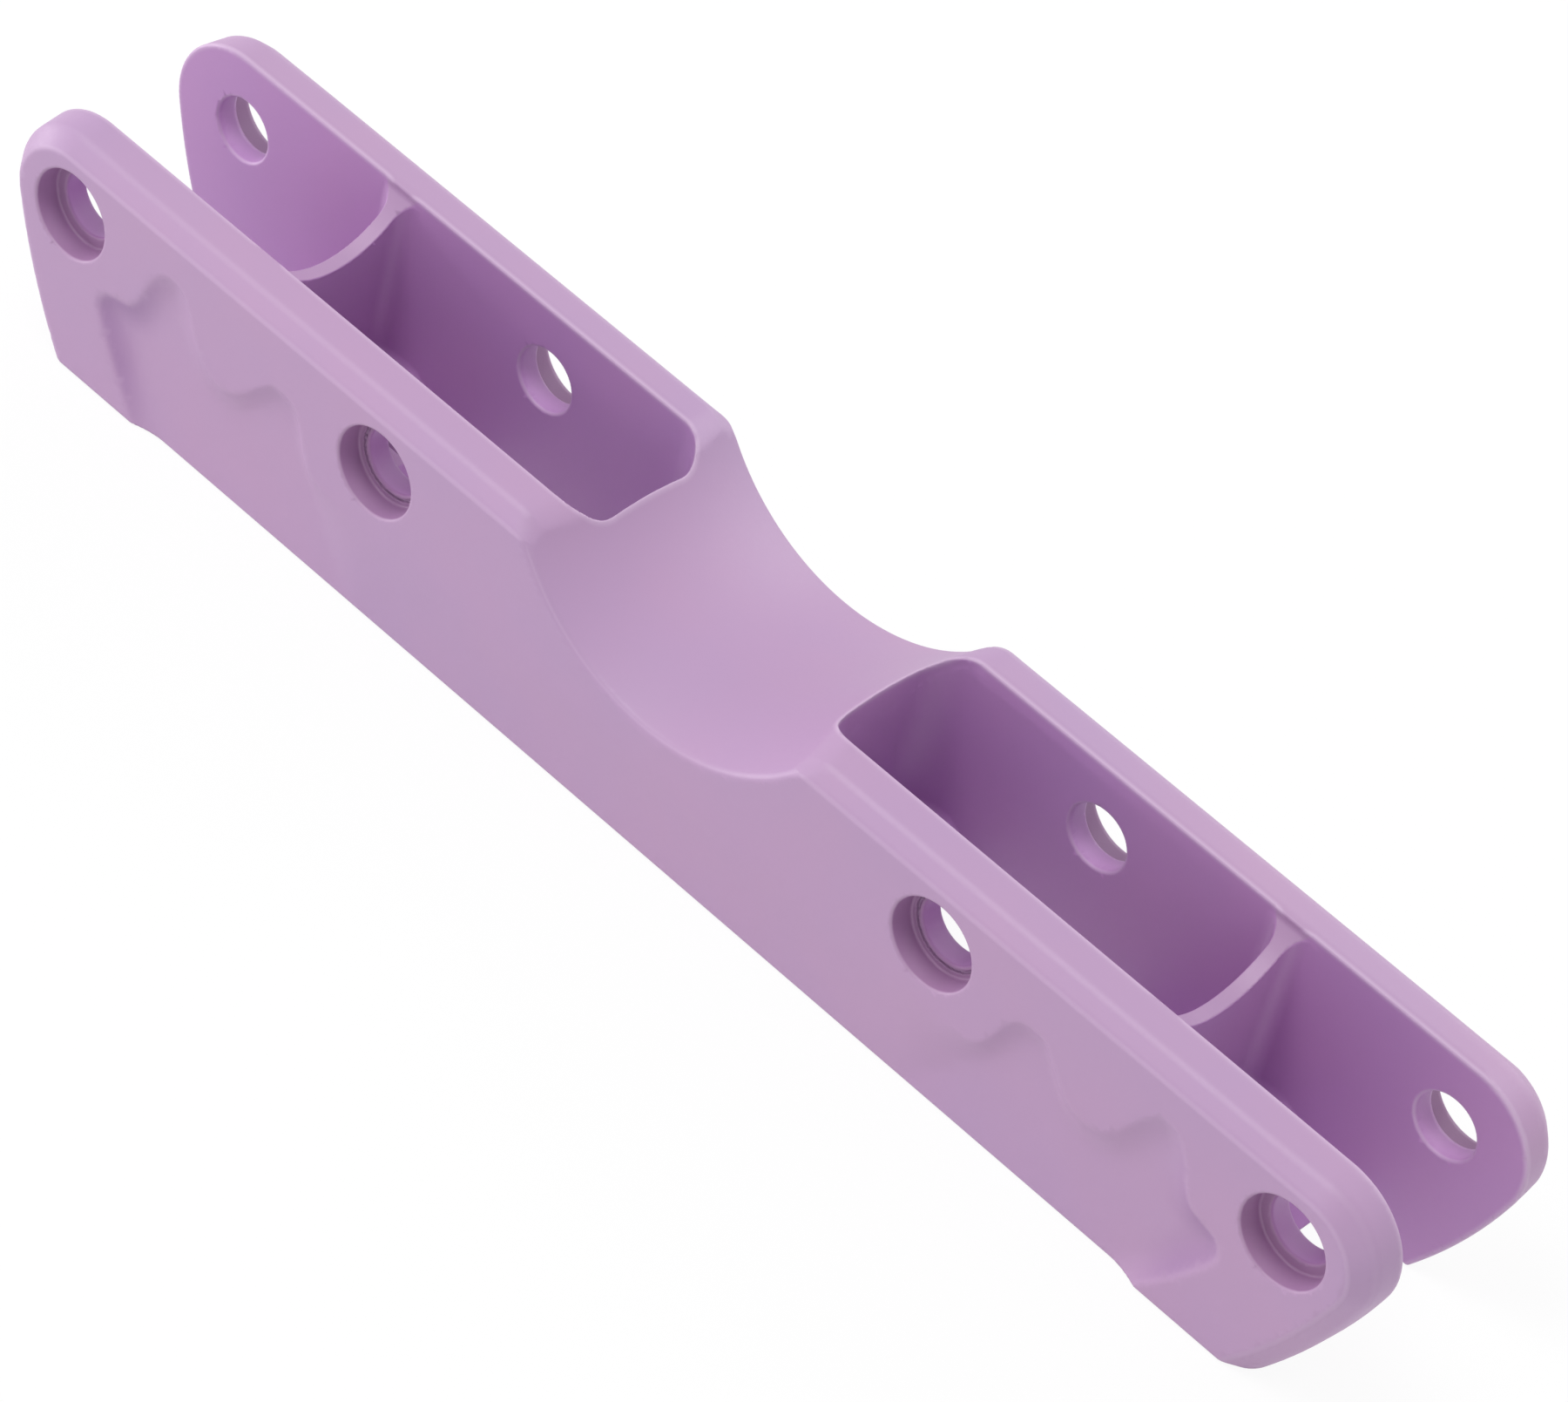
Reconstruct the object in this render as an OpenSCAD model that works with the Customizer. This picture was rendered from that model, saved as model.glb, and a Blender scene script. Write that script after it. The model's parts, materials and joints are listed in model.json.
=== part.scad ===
// Bare inline skate frame: one moulding with four axle positions, and the two captive nuts for the boot bolts.
// Millimetres. X runs along the frame, Y across it, and Z up from the sole, with the wheel side up.

/* [Axles] */
// Distance between the two axles at either end
end_axle_pitch = 62; // [58:0.5:80]
// Distance between the two middle axles
mid_axle_pitch = 105.7; // [100:0.1:130]
// Height of the axles above the sole
axle_height = 26; // [24:0.1:34]
// Diameter of the through bore for an axle
axle_bore_d = 10; // [6:0.1:12]
// Diameter of the recess for an axle head
head_recess_d = 13.9; // [12.5:0.1:16]
// Depth of the recess for an axle head
head_recess_depth = 4; // [2:0.1:5]
// Width of the bevel round the mouth of a head recess
head_recess_rim = 0.4; // [0.1:0.1:0.8]
// Width of the ring groove in the recess floors of the middle axles
floor_groove_w = 0.4; // [0.2:0.1:0.6]
// Depth of that ring groove
floor_groove_depth = 0.5; // [0.2:0.1:1]

/* [Body] */
// Width of the frame over its outer faces
body_w = 40.6; // [38:0.1:50]
// Clear width between the walls
wheel_gap = 25; // [22:0.5:28]
// Height of the walls above the axles
wall_rise = 12; // [10:0.1:16]
// Bevel along the outer edge of each wall
wall_bevel = 2.8; // [1:0.1:4]
// Radius of the rounded top corner at each end
end_round_r = 11.8; // [6:0.1:12]
// How far that corner's centre lies beyond the end axle
end_round_out = 1.7; // [0:0.1:8]
// Lean from upright of the flank just below that corner, in degrees
flank_lean = 19; // [5:0.5:26]
// Extra lean of each of the flank's facets below the first, in degrees
flank_turn = 6; // [1:0.5:8]
// Radius of the corner between each end and the sole
sole_corner_r = 1; // [1:0.1:5]

/* [Grind saddle] */
// Length of the saddle block between the wheel slots
saddle_block_l = 44.8; // [36:0.1:50]
// Radius of the saddle at the outer faces
saddle_r = 31.3; // [28:0.1:40]
// How far the saddle dips below the axles at the outer faces
saddle_dip = 4; // [0:0.1:8]
// Rise of the saddle's crown from the outer faces to the middle
saddle_crown = 3; // [0.5:0.1:4]
// Plan radius of the slot corners at the saddle block
slot_corner_r = 6; // [2:0.1:10]

/* [Webs and pads] */
// Distance of each web from the middle of the frame
web_x = 84.3; // [80:0.1:90]
// Thickness of each web
web_t = 2.4; // [1.6:0.1:4]
// Fillet radius where a web meets a wall
web_fillet = 2.3; // [0.5:0.1:3]
// Height of the lowest point of a web's top edge above the axles
web_rise = 3.6; // [0:0.1:4]
// Radius of the hollow in a web's top edge
web_hollow_r = 14.5; // [13.5:0.1:25]
// Height of the boot pads at the foot of the webs
pad_h = 8.6; // [8:0.1:12]
// Largest wheel that the wells are cut for
wheel_d = 53.5; // [44:0.5:57]
// Clearance round that wheel
wheel_clearance = 1; // [0.5:0.1:2]
// Distance from the middle to the start of the inner wheels' windows in the sole
window_x = 32; // [29:0.5:38]

/* [Boot bolts] */
// Distance between the two boot bolts
bolt_spacing = 166.7; // [160:0.1:175]
// Diameter of the bolt holes
bolt_hole_d = 6.6; // [6.2:0.1:8]
// Thread diameter of the nuts
nut_thread_d = 6; // [5:0.5:6]
// Width of the square nuts across the flats
nut_w = 10; // [9:0.1:11]
// Thickness of the nuts
nut_h = 5; // [3:0.1:5]
// Corner bevel of the nuts
nut_bevel = 0.6; // [0.2:0.1:1]
// Plastic between the sole and the nuts
nut_floor = 2.4; // [1.5:0.1:4]
// Clearance round a nut in its slot
nut_clearance = 0.2; // [0.1:0.05:0.4]

/* [Side recess] */
// Depth of the recess in the outer faces at the sole
recess_depth = 1.3; // [0.5:0.05:2]
// How far below the axles the recess's straight upper edge runs
recess_drop = 10.2; // [9:0.1:14]
// Distance from the middle to the start of the waves
wave_start_x = 57.5; // [50:0.5:62]
// Distance from the middle to the first crest
low_crest_x = 71.5; // [68:0.1:74]
// Height of the first crest above the axles
low_crest_z = 0.1; // [-3:0.1:2]
// Distance from the middle to the trough between the crests
trough_x = 82.4; // [80:0.1:85]
// How far that trough lies below the axles
trough_drop = 7.4; // [5:0.1:9]
// Distance from the middle to the second crest
high_crest_x = 94.4; // [92:0.1:97]
// Height of the second crest above the axles
high_crest_z = 3.6; // [0:0.1:5]
// Distance from the middle to the shelf after the second crest
shelf_x = 102; // [100:0.1:103]
// How far the shelf lies below the axles
shelf_drop = 6.5; // [5:0.1:8]
// Distance from the middle to the recess's outer corner
recess_corner_x = 107.2; // [105:0.1:109]
// How far that corner lies below the axles
recess_corner_drop = 9.7; // [8.5:0.1:12]
// Distance from the middle to the recess's end at the sole
recess_sole_x = 97.1; // [90:0.1:104]

/* [Hidden] */
$fn = 96;

// Overlap that carries a cut past the face it opens
past = 1;
half_w = body_w / 2;
half_gap = wheel_gap / 2;
wall_t = half_w - half_gap;
top_z = axle_height + wall_rise;
inner_axle_x = mid_axle_pitch / 2;
outer_axle_x = inner_axle_x + end_axle_pitch;

// Centre of the rounded top corner, and the facets of the flank from its foot down to the sole
corner_x = outer_axle_x + end_round_out;
corner_z = top_z - end_round_r;
flank_facets = 3;
flank_x = corner_x + end_round_r * cos(flank_lean);
flank_z = corner_z - end_round_r * sin(flank_lean);
facet_drop = flank_z / flank_facets;
function facet_lean(i) = flank_lean + flank_turn * i;
function facet_x(i) = i == 0 ? flank_x : facet_x(i - 1) - facet_drop * tan(facet_lean(i - 1));
function facet_z(i) = flank_z - facet_drop * i;
// Rounded corner between the last facet and the sole
sole_lean = facet_lean(flank_facets - 1);
sole_end_x = facet_x(flank_facets);
sole_corner_cut = sole_corner_r / tan(45 + sole_lean / 2);
sole_round_x = sole_end_x - sole_corner_cut;

// The saddle is turned about an axis across the frame, above it
saddle_axis_z = axle_height - saddle_dip + saddle_r;
saddle_neck_r = saddle_r - saddle_crown;
crown_r = (half_w * half_w + saddle_crown * saddle_crown) / (2 * saddle_crown);

well_r = wheel_d / 2 + wheel_clearance;
saddle_block_end = saddle_block_l / 2;
hollow_z = axle_height + web_rise + web_hollow_r;
nut_slot_w = nut_w + 2 * nut_clearance;
nut_slot_top = nut_floor + nut_h + nut_clearance;

// Points per wave flank, and a flank's smooth rise from 0 to 1
wave_steps = 12;
function ease(t) = (1 - cos(180 * t)) / 2;
function flank(x0, z0, x1, z1) =
    [for (i = [0 : wave_steps - 1]) let (t = i / wave_steps) [x0 + (x1 - x0) * t, z0 + (z1 - z0) * ease(t)]];

recess_top_z = axle_height - recess_drop;
low_crest = axle_height + low_crest_z;
trough = axle_height - trough_drop;
high_crest = axle_height + high_crest_z;
shelf = axle_height - shelf_drop;
recess_corner_z = axle_height - recess_corner_drop;
// Share of the shelf's length that the recess's outer corner is rounded over
corner_share = 0.75;
shelf_end_x = shelf_x + (recess_corner_x - shelf_x) * corner_share;
shelf_end_z = shelf + (recess_corner_z - shelf) * (1 - corner_share);
wave_outline = concat(
    [[wave_start_x, -past]],
    flank(wave_start_x, recess_top_z, low_crest_x, low_crest),
    flank(low_crest_x, low_crest, trough_x, trough),
    flank(trough_x, trough, high_crest_x, high_crest),
    flank(high_crest_x, high_crest, shelf_x, shelf),
    [[shelf_x, shelf], [shelf_end_x, shelf_end_z], [recess_corner_x, recess_corner_z]],
    [[recess_sole_x, 0], [recess_sole_x, -past]]
);

// Both ends, or both sides, from one
module both_ends() {
    children();
    mirror([1, 0, 0]) children();
}
module both_sides() {
    children();
    mirror([0, 1, 0]) children();
}

// A drawing in X and Z, given thickness along Y from y0 to y1
module across(y0, y1) {
    translate([0, y1, 0]) rotate([90, 0, 0]) linear_extrude(y1 - y0) children();
}

// Side view of the body
module side_outline() {
    half = concat(
        [[sole_round_x, 0], [sole_round_x, sole_corner_r]],
        [[sole_end_x + sole_corner_cut * sin(sole_lean), sole_corner_cut * cos(sole_lean)]],
        [for (i = [flank_facets - 1 : -1 : 0]) [facet_x(i), facet_z(i)]],
        [[corner_x, corner_z], [corner_x, top_z]]
    );
    polygon(concat(half, [for (i = [len(half) - 1 : -1 : 0]) [-half[i].x, half[i].y]]));
    for (side = [-1, 1]) {
        translate([side * corner_x, corner_z]) circle(end_round_r);
        translate([side * sole_round_x, sole_corner_r]) circle(sole_corner_r);
    }
}

// Wedge in Y and Z that a straight bevel removes, with its edge at the origin and the wall below and inside
module bevel_wedge(length) {
    rotate([90, 0, 90]) linear_extrude(length, center = true)
        polygon([[-wall_bevel, 0], [past, -wall_bevel - past], [past, past], [-wall_bevel, past]]);
}

// What the bevel removes from the +Y side: along the top, round the corners and down the flanks
module side_bevel() {
    bevel_past = 2 * wall_bevel + past;
    translate([0, half_w, top_z]) bevel_wedge(2 * (corner_x + past));
    both_ends() {
        translate([corner_x, half_w, corner_z]) corner_bevel();
        for (i = [0 : flank_facets - 1]) {
            length = facet_drop / cos(facet_lean(i));
            translate([facet_x(i), half_w, facet_z(i)]) rotate([0, 90 + facet_lean(i), 0])
                translate([length / 2, 0, 0]) bevel_wedge(length + 2 * bevel_past);
        }
    }
}

// The bevel round one rounded corner, between its two tangents
module corner_bevel() {
    reach = end_round_r + 2 * past;
    difference() {
        intersection() {
            across(-wall_bevel, past) polygon([
                [0, 0], [0, reach * 2], [reach * 2, reach * 2],
                [reach * 2 * cos(flank_lean), -reach * 2 * sin(flank_lean)]
            ]);
            translate([0, past, 0]) rotate([90, 0, 0]) cylinder(wall_bevel + past, reach, reach);
        }
        translate([0, past, 0]) rotate([90, 0, 0])
            cylinder(wall_bevel + past, end_round_r - wall_bevel - past, end_round_r);
    }
}

// Hourglass cutter of the grind saddle
module saddle_cut() {
    translate([0, 0, saddle_axis_z]) rotate([90, 0, 0]) rotate_extrude() difference() {
        translate([0, -half_w - past]) square([saddle_r + past, body_w + 2 * past]);
        translate([saddle_neck_r + crown_r, 0]) circle(crown_r, $fn = 360);
    }
}

// Plan of a wheel slot from x0 to x1, with corner radii r0 and r1
module slot_plan(x0, x1, r0, r1) {
    translate([x0 + r0, -half_gap]) square([x1 - r1 - x0 - r0, wheel_gap]);
    translate([x0, r0 - half_gap]) square([r0 + past, wheel_gap - 2 * r0]);
    translate([x1 - r1 - past, r1 - half_gap]) square([r1 + past, wheel_gap - 2 * r1]);
    for (side = [-1, 1]) {
        translate([x0 + r0, side * (half_gap - r0)]) circle(r0);
        translate([x1 - r1, side * (half_gap - r1)]) circle(r1);
    }
}

// The two wheel slots of the +X end, above the boot pads
module wheel_slots() {
    open_end = corner_x + end_round_r + web_fillet + past;
    translate([0, 0, pad_h]) linear_extrude(top_z) {
        slot_plan(saddle_block_end, web_x - web_t / 2, slot_corner_r, web_fillet);
        slot_plan(web_x + web_t / 2, open_end, web_fillet, web_fillet);
    }
}

// Wheel wells of the +X end, which open the sole under the wheels
module wheel_wells() {
    for (x = [inner_axle_x, outer_axle_x])
        translate([x, half_gap, axle_height]) rotate([90, 0, 0]) cylinder(wheel_gap, well_r, well_r);
    translate([window_x, -half_gap, -past]) cube([inner_axle_x - window_x, wheel_gap, pad_h + 2 * past]);
}

// Hollow in the top edge of the +X web
module web_hollow() {
    length = web_t + 2 * web_fillet + past;
    intersection() {
        translate([web_x - length / 2, 0, hollow_z]) rotate([0, 90, 0])
            cylinder(length, web_hollow_r, web_hollow_r);
        translate([web_x - length / 2, -half_gap, 0]) cube([length, wheel_gap, top_z + past]);
    }
}

// One axle position through both walls
module axle_cut(x, grooved) {
    recess_r = head_recess_d / 2;
    floor_y = half_w - head_recess_depth;
    groove_r = (axle_bore_d + head_recess_d) / 4;
    translate([x, 0, axle_height]) {
        rotate([90, 0, 0]) cylinder(body_w, axle_bore_d / 2, axle_bore_d / 2, center = true);
        both_sides() translate([0, half_w, 0]) rotate([90, 0, 0]) {
            translate([0, 0, -past]) cylinder(head_recess_depth + past, recess_r, recess_r);
            translate([0, 0, -past])
                cylinder(head_recess_rim + past, recess_r + head_recess_rim + past, recess_r);
            if (grooved) translate([0, 0, head_recess_depth - past]) difference() {
                cylinder(floor_groove_depth + past, groove_r + floor_groove_w / 2, groove_r + floor_groove_w / 2);
                cylinder(floor_groove_depth + past, groove_r - floor_groove_w / 2, groove_r - floor_groove_w / 2);
            }
        }
    }
}

// Boot bolt hole of the +X end, and the slot that its nut slides in from the wheel well
module bolt_cut() {
    bolt_x = bolt_spacing / 2;
    translate([bolt_x, 0, -past]) cylinder(nut_floor + 2 * past, bolt_hole_d / 2, bolt_hole_d / 2);
    translate([inner_axle_x, -nut_slot_w / 2, nut_floor])
        cube([bolt_x + nut_slot_w / 2 - inner_axle_x, nut_slot_w, nut_slot_top - nut_floor]);
}

// Recess in the +Y face: a wave-edged pocket at each end, and between them a face that leans in to the sole
module side_recess() {
    both_ends() across(half_w - recess_depth, half_w + past) polygon(wave_outline);
    rotate([90, 0, 90]) linear_extrude(2 * wave_start_x, center = true)
        polygon([
            [half_w, recess_top_z], [half_w - recess_depth, 0], [half_w - recess_depth, -past],
            [half_w + past, -past], [half_w + past, recess_top_z]
        ]);
}

module frame_moulding() {
    color("plum") difference() {
        across(-half_w, half_w) side_outline();
        both_sides() side_bevel();
        saddle_cut();
        both_ends() {
            wheel_slots();
            wheel_wells();
            web_hollow();
            bolt_cut();
            axle_cut(inner_axle_x, true);
            axle_cut(outer_axle_x, false);
        }
        both_sides() side_recess();
    }
}

// A square nut, seated on the floor of its slot
module mount_nut(x) {
    flat = nut_w / 2;
    color("silver") translate([x, 0, nut_floor]) difference() {
        linear_extrude(nut_h) polygon([
            [-flat + nut_bevel, -flat], [flat - nut_bevel, -flat], [flat, -flat + nut_bevel],
            [flat, flat - nut_bevel], [flat - nut_bevel, flat], [-flat + nut_bevel, flat],
            [-flat, flat - nut_bevel], [-flat, -flat + nut_bevel]
        ]);
        translate([0, 0, -past]) cylinder(nut_h + 2 * past, nut_thread_d / 2, nut_thread_d / 2);
    }
}
module front_mount_nut() { mount_nut(bolt_spacing / 2); }
module rear_mount_nut() { mount_nut(-bolt_spacing / 2); }

frame_moulding();
front_mount_nut();
rear_mount_nut();
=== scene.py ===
"""A bare inline skate frame in satin lavender plastic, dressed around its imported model.

The moulding is described by one signed distance in millimetres, negative inside, with every fillet in it,
and then meshed. The shape mirrors onto itself in X and in Y, so the functions below take |x| and |y|.
Z runs up from the sole to the wheel side.
"""
import json
import math

import bmesh
import bpy
import numpy as np
import openvdb
from mathutils import Matrix, Vector


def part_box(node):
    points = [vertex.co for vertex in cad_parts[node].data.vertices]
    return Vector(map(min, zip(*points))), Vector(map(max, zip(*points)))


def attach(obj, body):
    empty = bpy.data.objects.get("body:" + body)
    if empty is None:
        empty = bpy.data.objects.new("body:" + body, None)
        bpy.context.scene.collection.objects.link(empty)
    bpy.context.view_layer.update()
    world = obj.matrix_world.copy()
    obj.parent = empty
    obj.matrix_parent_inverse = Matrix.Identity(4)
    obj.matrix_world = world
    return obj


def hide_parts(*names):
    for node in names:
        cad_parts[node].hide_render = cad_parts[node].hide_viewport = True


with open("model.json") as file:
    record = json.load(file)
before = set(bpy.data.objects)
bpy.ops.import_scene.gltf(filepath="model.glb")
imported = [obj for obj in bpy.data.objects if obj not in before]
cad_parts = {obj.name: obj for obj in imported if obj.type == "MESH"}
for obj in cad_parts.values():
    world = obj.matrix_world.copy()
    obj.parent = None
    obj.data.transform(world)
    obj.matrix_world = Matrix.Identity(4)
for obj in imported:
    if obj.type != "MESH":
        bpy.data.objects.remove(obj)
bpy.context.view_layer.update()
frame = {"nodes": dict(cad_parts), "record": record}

MM = 0.001

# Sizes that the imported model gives
_, moulding_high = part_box("frame_moulding")
mounts = {mount["name"]: mount for mount in frame["record"]["mounts"]}
half_width = moulding_high.y / MM
top_z = moulding_high.z / MM
axle_z = mounts["front_mid_axle"]["pos_m"][2] / MM
inner_axle_x = mounts["front_mid_axle"]["pos_m"][0] / MM
outer_axle_x = mounts["front_end_axle"]["pos_m"][0] / MM
bore_r = mounts["front_mid_axle"]["dims"]["r_mm"]
bolt_x = mounts["boot_bolts"]["dims"]["spacing_x_mm"] / 2
bolt_r = mounts["boot_bolts"]["dims"]["hole_r_mm"]

# Ends: a rounded top corner, and a bowed flank that leans in to the sole
corner_r = 11.8
corner_past_axle = 1.7
corner_x = outer_axle_x + corner_past_axle
corner_z = top_z - corner_r
flank_lean = math.radians(17.5)
flank_r = 94.0
flank_x = corner_x - (flank_r - corner_r) * math.cos(flank_lean)
flank_z = corner_z + (flank_r - corner_r) * math.sin(flank_lean)

# Tops of the walls, which fall a little from the slots out to the bevel
top_fall = 0.55
# Bevel between the top and the outer faces, which widens at the ends and down the flanks
bevel_drop = 2.35
bevel_across = 2.45
bevel_growth = 0.3
bevel_growth_start = 106.0
bevel_growth_length = 22.0
bevel_foot_growth = 1.0
bevel_edge_r = 0.4
bevel_foot_edge_r = 1.2
sole_edge_r = 0.3

# Grind saddle, an hourglass turned about an axis across the frame
saddle_r = 31.3
saddle_crown = 3.0
saddle_below_axles = 4.0
saddle_axis_z = axle_z - saddle_below_axles + saddle_r
crown_r = (half_width ** 2 + saddle_crown ** 2) / (2 * saddle_crown)
saddle_side_edge_r = 0.8
saddle_top_edge_r = 2.6
saddle_edge_drop = 5.0
saddle_edge_low_z = top_z - saddle_edge_drop

# Wheel slots, webs and the pads at their feet
half_gap = 12.5
block_end = 22.4
slot_corner_r = 6.0
web_x = 84.3
web_t = 2.4
web_fillet = 2.35
web_hollow_r = 14.5
web_low_above_axles = 3.6
web_hollow_z = axle_z + web_low_above_axles + web_hollow_r
web_edge_r = 0.2
pad_h = 8.6
pad_fillet = 2.0
well_r = 27.75
window_x = 32.0
inner_edge_r = 0.5

# Axle bores with their head recesses
head_r = 6.9
head_depth = 4.0
head_floor_y = half_width - head_depth
head_floor_r = 0.3
rim_r = 0.45
groove_r = 5.9
groove_w = 0.5
groove_depth = 0.5

# Slots for the boot nuts
nut_slot_half_w = 5.2
nut_slot_low = 2.4
nut_slot_high = 7.6

# Side recess: waves at the ends, and a face that leans in to the sole between them
recess_depth = 1.3
recess_below_axles = 10.2
recess_top_z = axle_z - recess_below_axles
lean_width = recess_top_z
wave_width = 2.7
wave_width_growth = 1.4
wave_growth_start = 74.0
wave_growth_length = 14.0
wave_bow = 0.8
wave_blend = (52.0, 66.0)
# Upper edge and end of the recess, as distance from the middle and height above the axles
wave_points = [
    (45.0, -recess_below_axles), (57.4, -recess_below_axles), (62.9, -9.6), (65.4, -6.7), (67.1, -2.7),
    (69.1, -0.3), (71.5, 0.2), (73.9, -0.4), (77.6, -4.7), (79.7, -6.6), (82.4, -7.4), (85.3, -6.6),
    (87.7, -4.0), (90.3, 0.6), (92.2, 2.9), (94.4, 3.6), (96.7, 2.4), (98.4, -0.4), (99.8, -4.1),
    (101.3, -6.3), (103.8, -7.1), (106.1, -8.0), (107.2, -10.4), (106.0, -13.6), (101.9, -19.8),
    (99.2, -23.3), (97.1, -26.0), (94.3, -29.6),
]
wave_steps = 6
# Painted shade on the side recess along its outer end, which sets in over a share of the recess wall
shade_start = 94.0
shade_rise = 8.0
shade_width = 8.0
shade_onset = 0.25

# Meshing: the lattice's cell and margin, how far flat parts are thinned, and an edge's least length
cell = 0.25
margin = 3 * cell
thinning = 0.033
shortest_edge = 0.04


def round_max(p, q, r):
    """Where both shapes are, with the edge between them rounded to r."""
    return np.minimum(np.maximum(p, q), -r) + np.hypot(np.maximum(p + r, 0), np.maximum(q + r, 0))


def round_min(p, q, r):
    """Where either shape is, with the corner between them rounded to r."""
    return -round_max(-p, -q, r)


def ease(t):
    """A smooth rise from 0 to 1 as t goes from 0 to 1."""
    t = np.clip(t, 0, 1)
    return t * t * (3 - 2 * t)


def spline(points, steps):
    """Points of a smooth curve through the given ones."""
    p = np.array([points[0]] + list(points) + [points[-1]], float)
    t = (np.arange(steps) / steps)[:, None]
    curve = []
    for a, b, c, d in zip(p, p[1:], p[2:], p[3:]):
        curve.append(b + t * (c - a) / 2 + t ** 2 * (a - 2.5 * b + 2 * c - d / 2)
                     + t ** 3 * (1.5 * (b - c) + (d - a) / 2))
    return np.vstack(curve + [p[-1:]])


def softened(values):
    """A lattice's values, averaged with their neighbours a few times."""
    for axis in (0, 1) * 2:
        values = (np.roll(values, 1, axis) + 2 * values + np.roll(values, -1, axis)) / 4
    return values


class RecessMap:
    """Depth of the side recess over X and Z, and the painted shade along its outer end, worked out once on
    a fine lattice.
    """

    step = 0.25
    surplus = 2.0

    def __init__(self):
        past_middle = -5.0
        edge = spline(wave_points, wave_steps) + (0, axle_z)
        edge = np.vstack([[past_middle, recess_top_z], edge, [past_middle, edge[-1, 1]]])
        self.x = np.arange(-self.surplus, moulding_high.x / MM + self.surplus, self.step)
        self.z = np.arange(-self.surplus, top_z + self.surplus, self.step)
        gx, gz = np.meshgrid(self.x, self.z, indexing="ij")
        inside = np.zeros(gx.shape, bool)
        reach = np.full(gx.shape, 1e9)
        closed = np.vstack([edge, edge[:1]])
        for number, (start, end) in enumerate(zip(closed, closed[1:])):
            run = end - start
            if abs(run[1]) > 1e-9:
                crosses = (start[1] > gz) != (end[1] > gz)
                inside ^= crosses & (gx < start[0] + run[0] * (gz - start[1]) / run[1])
            # The last two runs only close the outline, under the sole and at the middle
            if number < len(edge) - 2:
                t = np.clip(((gx - start[0]) * run[0] + (gz - start[1]) * run[1]) / (run @ run), 0, 1)
                reach = np.minimum(reach, np.hypot(gx - start[0] - t * run[0], gz - start[1] - t * run[1]))
        waved = ease((gx - wave_blend[0]) / (wave_blend[1] - wave_blend[0]))
        wall = wave_width + wave_width_growth * ease((gx - wave_growth_start) / wave_growth_length)
        width = lean_width + (wall - lean_width) * waved
        share = np.clip(np.where(inside, reach, 0) / width, 0, 1)
        self.depth = softened(recess_depth * share * (1 + wave_bow * (1 - share) * waved))
        # Painted shade along the recess's outer end
        painted_shade_share = ease(share / shade_onset) * (1 - ease(reach / shade_width))
        self.shade = painted_shade_share * ease((gx - shade_start) / shade_rise)

    def at(self, values, x, z):
        """Values of the lattice at the given places, between its own points."""
        u = np.clip((x - self.x[0]) / self.step, 0, len(self.x) - 1.001)
        v = np.clip((z - self.z[0]) / self.step, 0, len(self.z) - 1.001)
        i, j = u.astype(int), v.astype(int)
        u, v = u - i, v - j
        near = values[i, j] * (1 - u) + values[i + 1, j] * u
        far = values[i, j + 1] * (1 - u) + values[i + 1, j + 1] * u
        return near * (1 - v) + far * v


recess = RecessMap()


def end_outline(x, z):
    """The top, the rounded corner and the bowed flank, in side view."""
    dx, dz = x - corner_x, z - corner_z
    top = z - top_z
    corner = np.hypot(dx, dz) - corner_r
    flank = np.hypot(x - flank_x, z - flank_z) - flank_r
    on_flank = dz * math.cos(flank_lean) + dx * math.sin(flank_lean) < 0
    return np.maximum(np.where(on_flank, flank, np.where(dx > 0, corner, top)), top)


def outer_faces(x, y, z):
    """The top with the ends, the bevel, the outer face and the sole, each as a distance."""
    outline = end_outline(x, z)
    face = y - half_width + recess.at(recess.depth, x, z)
    t = np.clip((x - bevel_growth_start) / bevel_growth_length, 0, 1)
    across = bevel_across + bevel_growth * t * (3 - t) / 2
    fall = top_fall / (half_width - bevel_across - half_gap)
    end = (outline + fall * (y - half_gap)) / np.hypot(1, fall)
    rise = outline + top_fall
    drop = bevel_drop + bevel_foot_growth * np.clip(1 - z / axle_z, 0, 1)
    bevel = (rise / drop + (y - half_width) / across + 1) / np.hypot(1 / drop, 1 / across)
    return end, bevel, face, -z


def outer_body(x, y, z):
    """The body before anything is hollowed out of it."""
    end, bevel, face, sole = outer_faces(x, y, z)
    edge_r = bevel_edge_r + (bevel_foot_edge_r - bevel_edge_r) * ease(1 - z / axle_z)
    shell = round_max(round_max(end, bevel, edge_r), face, bevel_edge_r)
    return round_max(shell, sole, sole_edge_r)


def grind_saddle(x, y, z):
    """What the saddle takes away, positive inside it."""
    spread = np.sqrt(crown_r ** 2 - y ** 2)
    local_r = saddle_r - saddle_crown + crown_r - spread
    return (local_r - np.hypot(x, z - saddle_axis_z)) / np.hypot(1, y / spread)


def slot_plan(x, y):
    """Outline of the wheel slots seen from above, without the webs."""
    return round_max(y - half_gap, block_end - x, slot_corner_r)


def wheel_slots(x, y, z):
    """The wheel slots between the webs, and the windows in the sole."""
    web = np.abs(x - web_x) - web_t / 2
    above = round_min(pad_h - z, np.maximum(window_x - x, x - inner_axle_x), inner_edge_r)
    for axle_x in (inner_axle_x, outer_axle_x):
        above = round_min(above, np.hypot(x - axle_x, z - axle_z) - well_r, inner_edge_r)
    return round_max(round_max(slot_plan(x, y), -web, web_fillet), above, pad_fillet)


def wheel_hollows(x, y, z):
    """The wheel slots together with the hollows over the webs."""
    web_top = round_max(np.hypot(y, z - web_hollow_z) - web_hollow_r, slot_plan(x, y), web_edge_r)
    return round_min(wheel_slots(x, y, z), web_top, web_edge_r)


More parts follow.
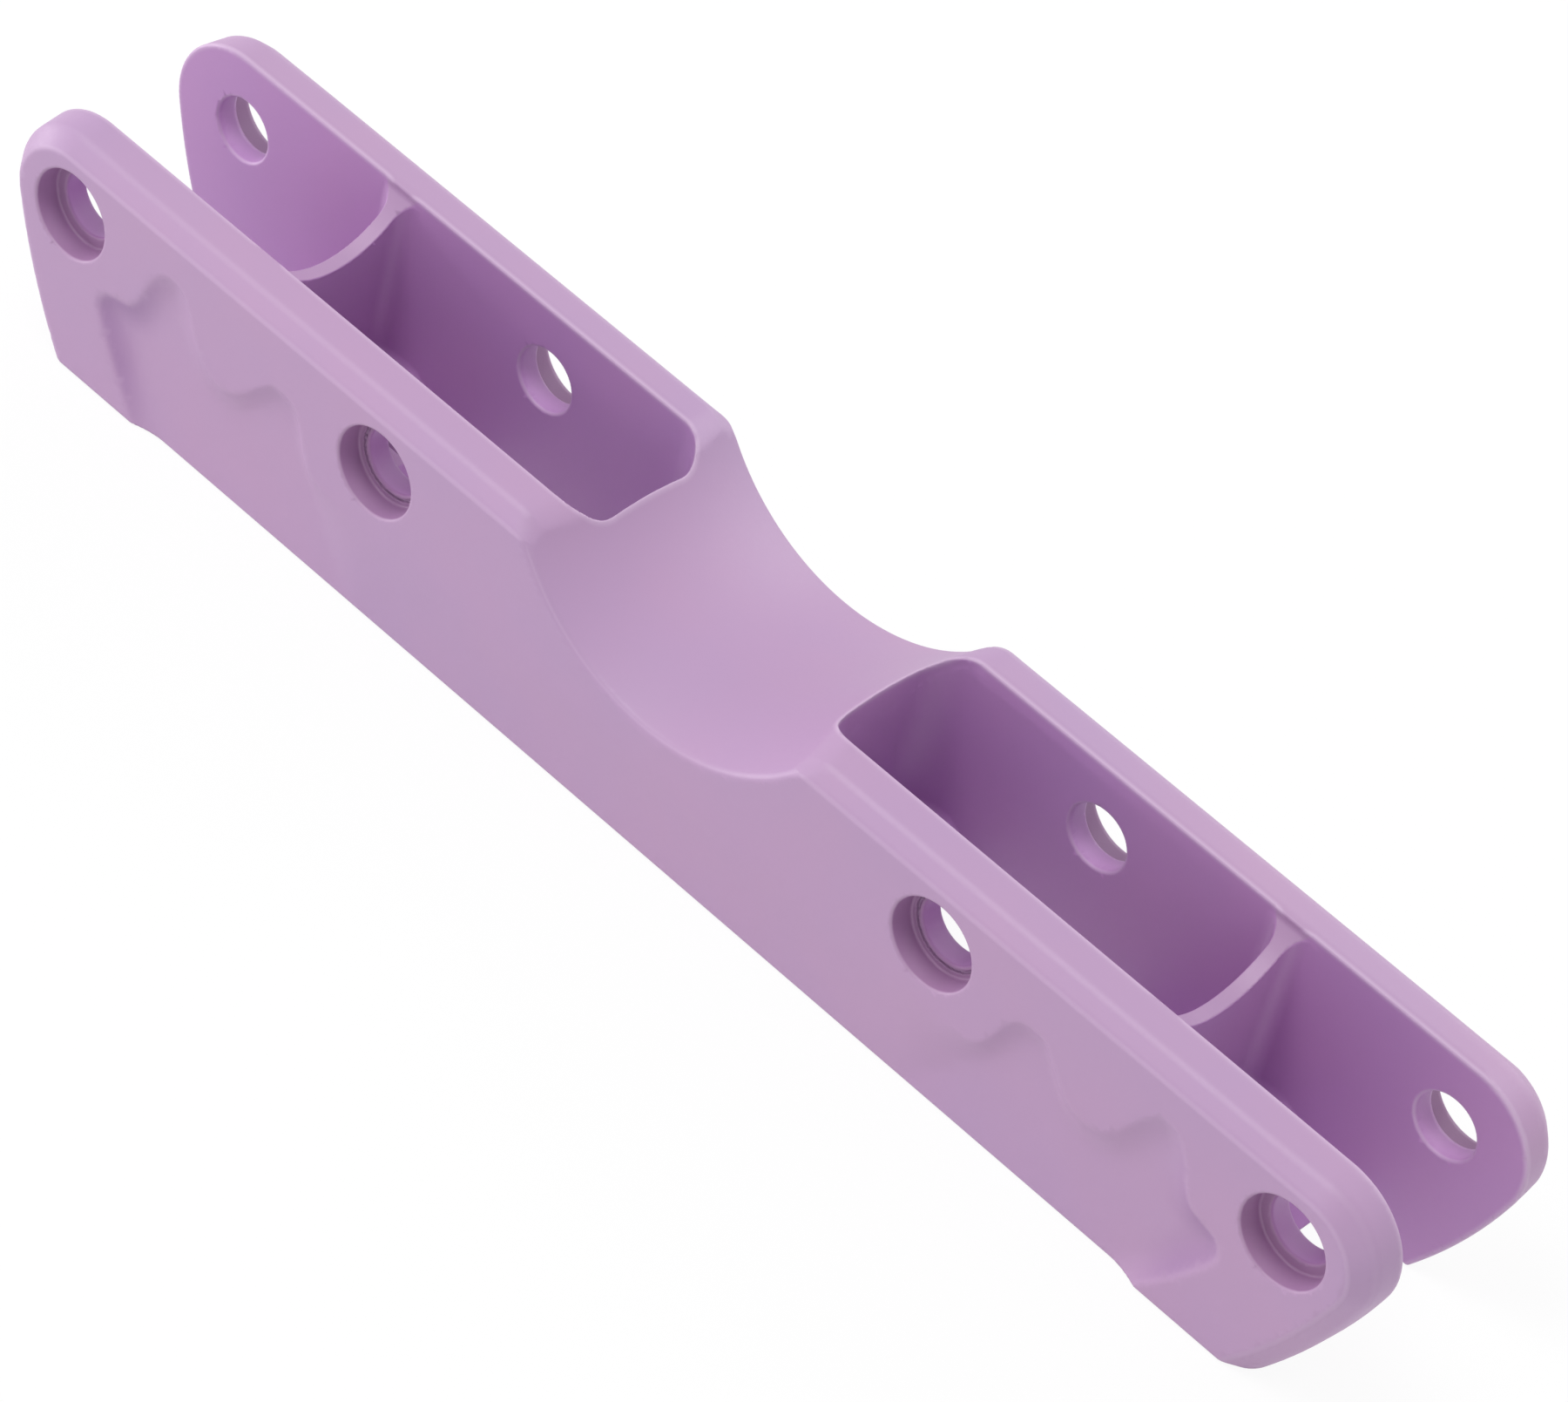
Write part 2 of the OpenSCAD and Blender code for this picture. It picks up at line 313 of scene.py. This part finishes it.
def head_recess(radius, y):
    """The recess for an axle's head, at a distance from the axle's middle line."""
    return round_max(radius - head_r, head_floor_y - y, head_floor_r)


def axle_holes(x, y, z):
    """The bores, their head recesses and the ring grooves on the floors of the middle ones."""
    holes = []
    for axle_x in (inner_axle_x, outer_axle_x):
        radius = np.hypot(x - axle_x, z - axle_z)
        hole = round_min(radius - bore_r, head_recess(radius, y), rim_r)
        if axle_x == inner_axle_x:
            groove = np.maximum(np.abs(radius - groove_r) - groove_w / 2, head_floor_y - groove_depth - y)
            hole = np.minimum(hole, groove)
        holes.append(hole)
    return np.minimum(*holes)


def nut_slots(x, y, z):
    """The bolt hole through a pad, and the slot its nut slides into from the wheel well."""
    overlap = 1.0
    bolt = np.maximum(np.hypot(x - bolt_x, y) - bolt_r, z - nut_slot_low - overlap)
    middle = (nut_slot_low + nut_slot_high) / 2
    slot = np.maximum(y - nut_slot_half_w, np.abs(z - middle) - (nut_slot_high - middle))
    slot = np.maximum(slot, np.maximum(inner_axle_x - x, x - bolt_x - nut_slot_half_w))
    return np.minimum(bolt, slot)


def moulding_distance(x, y, z):
    """Signed distance to the moulding's surface, negative inside."""
    x, y = np.abs(x), np.abs(y)
    solid = outer_body(x, y, z)
    height = ease((z - saddle_edge_low_z) / (top_z - saddle_edge_low_z))
    edge_r = saddle_side_edge_r + (saddle_top_edge_r - saddle_side_edge_r) * height
    solid = round_max(solid, grind_saddle(x, y, z), edge_r)
    solid = round_max(solid, -wheel_hollows(x, y, z), inner_edge_r)
    solid = round_max(solid, -axle_holes(x, y, z), rim_r)
    return np.maximum(solid, -nut_slots(x, y, z))


def surface_gaps(x, y, z):
    """On the surface, how far off each of the surfaces that bound the moulding is."""
    x, y = np.abs(x), np.abs(y)
    top, bevel, face, _ = outer_faces(x, y, z)
    axle_x = np.where(x < bolt_x, inner_axle_x, outer_axle_x)
    radius = np.hypot(x - axle_x, z - axle_z)
    gaps = {
        "top": top,
        "bevel": bevel,
        "face": face,
        "saddle": grind_saddle(x, y, z),
        "slot": wheel_slots(x, y, z),
        "bore": radius - bore_r,
        "head": head_recess(radius, y),
    }
    return {name: np.abs(gap) for name, gap in gaps.items()}


def slope(p):
    """Distance and unit normal at points p, one row each."""
    reach = 0.02
    value = moulding_distance(*p.T)
    normal = np.empty_like(p)
    for axis in range(3):
        step = np.zeros(3)
        step[axis] = reach
        normal[:, axis] = moulding_distance(*(p + step).T) - moulding_distance(*(p - step).T)
    length = np.linalg.norm(normal, axis=1)
    length[length == 0] = 1
    return value / (length / (2 * reach)), normal / length[:, None]


def settle(p, rounds, most):
    """Moves points onto the surface, each by at most the given distance a round."""
    for _ in range(rounds):
        distance, normal = slope(p)
        p = p - np.clip(distance, -most, most)[:, None] * normal
    return p


def mesh_of(name, points, triangles, quads):
    """A mesh from points in millimetres and the point numbers of each triangle and quad."""
    corners = np.concatenate([triangles.ravel(), quads.ravel()]).astype(np.int32)
    sizes = np.repeat([3, 4], [len(triangles), len(quads)])
    mesh = bpy.data.meshes.new(name)
    mesh.vertices.add(len(points))
    mesh.vertices.foreach_set("co", (points * MM).astype(np.float32).ravel())
    mesh.loops.add(len(corners))
    mesh.loops.foreach_set("vertex_index", corners)
    mesh.polygons.add(len(sizes))
    mesh.polygons.foreach_set("loop_start", (np.cumsum(sizes) - sizes).astype(np.int32))
    mesh.update(calc_edges=True)
    mesh.validate()
    return mesh


def clean_up(mesh):
    """Joins points that nearly coincide, takes out needles and cuts all faces into triangles."""
    shape = bmesh.new()
    shape.from_mesh(mesh)
    bmesh.ops.remove_doubles(shape, verts=shape.verts, dist=shortest_edge * MM)
    bmesh.ops.dissolve_degenerate(shape, dist=shortest_edge * MM, edges=shape.edges)
    bmesh.ops.triangulate(shape, faces=shape.faces, quad_method="BEAUTY")
    shape.to_mesh(mesh)
    shape.free()


def points_of(mesh):
    """The mesh's points in millimetres, one row each."""
    flat = np.empty(3 * len(mesh.vertices), np.float32)
    mesh.vertices.foreach_get("co", flat)
    return flat.reshape(-1, 3).astype(float) / MM


def placed(name, data):
    """A new object with the given data, linked into the scene."""
    thing = bpy.data.objects.new(name, data)
    bpy.context.scene.collection.objects.link(thing)
    return thing


def sampled_distance():
    """The distance on a regular lattice over the whole moulding, and the lattice's first point."""
    x = np.arange(0, moulding_high.x / MM + margin, cell)
    y = np.arange(0, half_width + margin, cell)
    z = np.arange(-margin, top_z + margin, cell)
    quarter = moulding_distance(x[:, None, None], y[None, :, None], z[None, None, :])
    half = np.concatenate([quarter[:0:-1], quarter], axis=0)
    whole = np.concatenate([half[:, :0:-1], half], axis=1)
    return whole.astype(np.float32), np.array([-x[-1], -y[-1], z[0]])


def frame_moulding():
    """The moulding as one closed mesh, thinned where it is flat, with exact normals."""
    face_reach = 0.3
    lattice, first = sampled_distance()
    grid = openvdb.FloatGrid(margin)
    grid.copyFromArray(lattice)
    points, triangles, quads = grid.convertToPolygons(0.0, thinning)
    points = settle(first + points.astype(float) * cell, rounds=2, most=cell / 2)
    mesh = mesh_of("moulding", points, triangles, quads)
    clean_up(mesh)
    points = points_of(mesh)
    mesh.shade_smooth()
    mesh.normals_split_custom_set_from_vertices(slope(points)[1])
    measures = surface_gaps(*points.T)
    # Painted shade at the recess's outer ends, kept to the outer face
    shade = recess.at(recess.shade, np.abs(points[:, 0]), points[:, 2])
    measures["painted_recess_shade"] = np.where(measures["face"] < face_reach, shade, 0)
    for name, values in measures.items():
        attribute = mesh.attributes.new(name, "FLOAT", "POINT")
        attribute.data.foreach_set("value", values.astype(np.float32))
    return placed("moulding", mesh)


# Materials

class Paint:
    """A node material, with helpers that add nodes to it."""

    def __init__(self, name):
        self.material = bpy.data.materials.new(name)
        self.material.use_nodes = True
        self.tree = self.material.node_tree
        self.shader = self.tree.nodes["Principled BSDF"]
        self.link = self.tree.links.new

    def add(self, kind, **values):
        """A new node, with values for its inputs and for its own settings."""
        node = self.tree.nodes.new(kind)
        for key, value in values.items():
            if key in node.inputs:
                node.inputs[key].default_value = value
            else:
                setattr(node, key, value)
        return node

    def noise(self, scale, detail, roughness):
        """Cloudy noise that is fixed to the object."""
        place = self.add("ShaderNodeTexCoord")
        clouds = self.add("ShaderNodeTexNoise", Scale=scale, Detail=detail, Roughness=roughness)
        self.link(place.outputs["Object"], clouds.inputs["Vector"])
        return clouds.outputs["Fac"]

    def ramp(self, value, *stops):
        """A colour that runs from one stop to the next as the value rises."""
        node = self.add("ShaderNodeValToRGB")
        for element, (position, colour) in zip(node.color_ramp.elements, stops):
            element.position = position
            element.color = (*colour, 1)
        self.link(value, node.inputs["Fac"])
        return node.outputs["Color"]

    def mapped(self, value, start, end, first, last, way="LINEAR"):
        """Goes from first to last as the value goes from start to end."""
        node = self.add("ShaderNodeMapRange", interpolation_type=way)
        for key, number in (("From Min", start), ("From Max", end), ("To Min", first), ("To Max", last)):
            node.inputs[key].default_value = number
        self.link(value, node.inputs["Value"])
        return node.outputs["Result"]

    def larger(self, first, second):
        """The larger of two values."""
        node = self.add("ShaderNodeMath", operation="MAXIMUM")
        self.link(first, node.inputs[0])
        self.link(second, node.inputs[1])
        return node.outputs[0]

    def blend(self, colour, way, other, share):
        """The colour blended with another one by the given share."""
        mix = self.add("ShaderNodeMix", data_type="RGBA", blend_type=way)
        # The node has sockets for every type of value: inputs 6 and 7 and output 2 are the colours
        mix.inputs[7].default_value = (*other, 1)
        self.link(share, mix.inputs[0])
        self.link(colour, mix.inputs[6])
        return mix.outputs[2]

    def satin(self, value, low, high):
        """Roughness that varies with the value between two levels."""
        self.link(self.mapped(value, 0, 1, low, high), self.shader.inputs["Roughness"])

    def relief(self, value, strength, depth):
        """A fine relief that follows the value, with its depth in metres."""
        bump = self.add("ShaderNodeBump", Strength=strength, Distance=depth)
        self.link(value, bump.inputs["Height"])
        self.link(bump.outputs["Normal"], self.shader.inputs["Normal"])


def lavender_plastic():
    """Satin moulded plastic: faint pink and blue clouds, deeper with painted shade in the hollows, paler
    with painted highlights along the edges.
    """
    blue_cloud = (0.472, 0.302, 0.512)
    pink_cloud = (0.500, 0.306, 0.506)
    # Painted shade: the wheel slots and bores deeper and more violet
    slot_painted_shade = (1.03, 0.88, 1.08)
    # Painted shade: the axle-head recesses darker
    head_painted_shade = (0.78, 0.68, 0.76)
    # Painted shade: the side recess darker along its outer ends
    recess_end_painted_shade = (0.78, 0.70, 0.83)
    # Painted highlight: pale lines along the rounded edges
    edge_highlight_colour = (0.66, 0.48, 0.68)
    # Gaps in millimetres between which the painted shade of a hollow fades
    slot_fade = (0.05, 0.2)
    bore_fade = (0.1, 0.4)
    head_fade = (0.1, 0.5)
    # Pairs of surfaces that meet at an edge with a painted highlight, with its width and strength
    edges = [("top", "slot", 1.0, 0.6), ("saddle", "slot", 1.0, 0.6), ("top", "bevel", 0.45, 0.08),
             ("bevel", "face", 0.45, 0.28), ("saddle", "bevel", 0.5, 0.28), ("saddle", "face", 0.5, 0.28),
             ("face", "head", 0.5, 0.3), ("slot", "bore", 0.6, 0.5)]
    paint = Paint("lavender_plastic")

    def measure(name):
        """A measure that the mesh carries at its points."""
        return paint.add("ShaderNodeAttribute", attribute_name=name).outputs["Fac"]

    def near_to(gap, fade, share=1.0):
        """Falls from the share to 0 as a gap goes through the fade."""
        return paint.mapped(gap, *fade, share, 0.0, "SMOOTHSTEP")

    # Painted highlight along the edges where these surfaces meet
    painted_edge_highlight = None
    for first, second, width, share in edges:
        near = near_to(paint.larger(measure(first), measure(second)), (width / 4, width), share)
        painted_edge_highlight = paint.larger(painted_edge_highlight, near) if painted_edge_highlight else near
    # Where the painted shade of the wheel slots and bores lies
    painted_shade_in_hollows = paint.larger(near_to(measure("slot"), slot_fade), near_to(measure("bore"), bore_fade))
    clouds = paint.noise(scale=28.0, detail=3.0, roughness=0.55)
    colour = paint.ramp(clouds, (0.3, blue_cloud), (0.7, pink_cloud))
    colour = paint.blend(colour, "MULTIPLY", slot_painted_shade, painted_shade_in_hollows)
    # Painted shade in the axle-head recesses
    colour = paint.blend(colour, "MULTIPLY", head_painted_shade, near_to(measure("head"), head_fade))
    colour = paint.blend(colour, "MULTIPLY", recess_end_painted_shade, measure("painted_recess_shade"))
    colour = paint.blend(colour, "MIX", edge_highlight_colour, painted_edge_highlight)
    paint.link(colour, paint.shader.inputs["Base Color"])
    grain = paint.noise(scale=1800.0, detail=2.0, roughness=0.6)
    paint.satin(grain, 0.46, 0.58)
    paint.relief(grain, strength=0.12, depth=0.00008)
    paint.shader.inputs["IOR"].default_value = 1.45
    paint.shader.inputs["Specular IOR Level"].default_value = 0.9
    return paint.material


def zinc_steel():
    """Steel with a cloudy zinc plating and a fine relief."""
    dark_zinc = (0.52, 0.54, 0.57)
    pale_zinc = (0.68, 0.68, 0.66)
    paint = Paint("zinc_steel")
    clouds = paint.noise(scale=420.0, detail=4.0, roughness=0.6)
    paint.link(paint.ramp(clouds, (0.0, dark_zinc), (1.0, pale_zinc)), paint.shader.inputs["Base Color"])
    paint.satin(clouds, 0.26, 0.44)
    paint.relief(clouds, strength=0.15, depth=0.00005)
    paint.shader.inputs["Metallic"].default_value = 1.0
    return paint.material


def seen_directly(tree):
    """1 for rays from the camera, off a gloss or through glass, and 0 for light that falls on things."""
    path = tree.nodes.new("ShaderNodeLightPath")
    seen = path.outputs["Is Camera Ray"]
    for other in ("Is Glossy Ray", "Is Transmission Ray"):
        larger = tree.nodes.new("ShaderNodeMath")
        larger.operation = "MAXIMUM"
        tree.links.new(seen, larger.inputs[0])
        tree.links.new(path.outputs[other], larger.inputs[1])
        seen = larger.outputs[0]
    return seen


def show_mixed(tree, output, share, lit, seen):
    """Ends a node tree in a mix of two shaders: the share that is seen, and the rest that is lit."""
    mix = tree.nodes.new("ShaderNodeMixShader")
    tree.links.new(share, mix.inputs["Fac"])
    tree.links.new(lit.outputs[0], mix.inputs[1])
    tree.links.new(seen.outputs[0], mix.inputs[2])
    tree.links.new(mix.outputs[0], tree.nodes[output].inputs["Surface"])


def white_floor():
    """White to the camera, and a pale floor that keeps a faint shadow."""
    shadow_share = 0.1
    paint = Paint("white_floor")
    paint.tree.nodes.remove(paint.shader)
    share = paint.add("ShaderNodeMath", operation="MULTIPLY")
    share.inputs[1].default_value = 1 - shadow_share
    paint.link(seen_directly(paint.tree), share.inputs[0])
    lit = paint.add("ShaderNodeBsdfDiffuse", Color=(0.86, 0.86, 0.86, 1))
    seen = paint.add("ShaderNodeEmission", Color=(1, 1, 1, 1), Strength=1.02)
    show_mixed(paint.tree, "Material Output", share.outputs[0], lit, seen)
    return paint.material


# Stage, light and camera

def floor():
    """A wide plane just under the sole."""
    size, below = 6.0, 0.0002
    corners = [(-size, -size, -below), (size, -size, -below), (size, size, -below), (-size, size, -below)]
    mesh = bpy.data.meshes.new("floor")
    mesh.from_pydata(corners, [], [(0, 1, 2, 3)])
    plane = placed("floor", mesh)
    mesh.materials.append(white_floor())


def soft_box(name, place, width, height, power):
    """A lamp that faces the middle of the stage."""
    lamp = bpy.data.lights.new(name, "AREA")
    lamp.shape = "RECTANGLE"
    lamp.size = width
    lamp.size_y = height
    lamp.energy = power
    holder = placed(name, lamp)
    holder.location = place
    holder.rotation_euler = (-Vector(place)).to_track_quat("-Z", "Y").to_euler()


def surroundings():
    """Even pale light from all round, white to the camera."""
    world = bpy.data.worlds.new("surroundings")
    bpy.context.scene.world = world
    world.use_nodes = True
    tree = world.node_tree
    lit = tree.nodes["Background"]
    seen = tree.nodes.new("ShaderNodeBackground")
    for light, strength in ((lit, 0.54), (seen, 1.0)):
        light.inputs["Color"].default_value = (1, 1, 1, 1)
        light.inputs["Strength"].default_value = strength
    show_mixed(tree, "World Output", seen_directly(tree), lit, seen)


def camera():
    """The photograph's view: a long lens from above, turned about its own axis."""
    azimuth = math.radians(33.111)
    elevation = math.radians(43.796)
    roll = math.radians(15.680)
    distance = 0.92839
    aim = Vector((0.00782, -0.00024, 0.02134))
    back = Vector((math.sin(azimuth) * math.cos(elevation),
                   -math.cos(azimuth) * math.cos(elevation),
                   math.sin(elevation)))
    data = bpy.data.cameras.new("camera")
    data.sensor_width = 36.0
    data.lens = 158.981
    holder = placed("camera", data)
    turn = (-back).to_track_quat("-Z", "Y").to_matrix() @ Matrix.Rotation(roll, 3, "Z")
    holder.matrix_world = Matrix.Translation(aim + back * distance) @ turn.to_4x4()
    bpy.context.scene.camera = holder


bpy.context.scene.view_settings.view_transform = "Standard"
camera()
surroundings()
floor()
soft_box("overhead_light", (-0.35, -0.4, 1.25), 0.6, 0.6, 7.4)
soft_box("back_light", (0.1, 1.2, 0.6), 0.9, 0.7, 5.0)
soft_box("left_light", (-1.4, -0.5, 0.035), 1.2, 0.06, 7.8)
soft_box("right_light", (1.2, -0.7, 0.3), 0.6, 0.4, 0.8)

moulding = frame_moulding()
moulding.data.materials.append(lavender_plastic())
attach(moulding, "root")
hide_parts("frame_moulding")

steel = zinc_steel()
for node in ("front_mount_nut", "rear_mount_nut"):
    for slot in frame["nodes"][node].material_slots:
        slot.material = steel
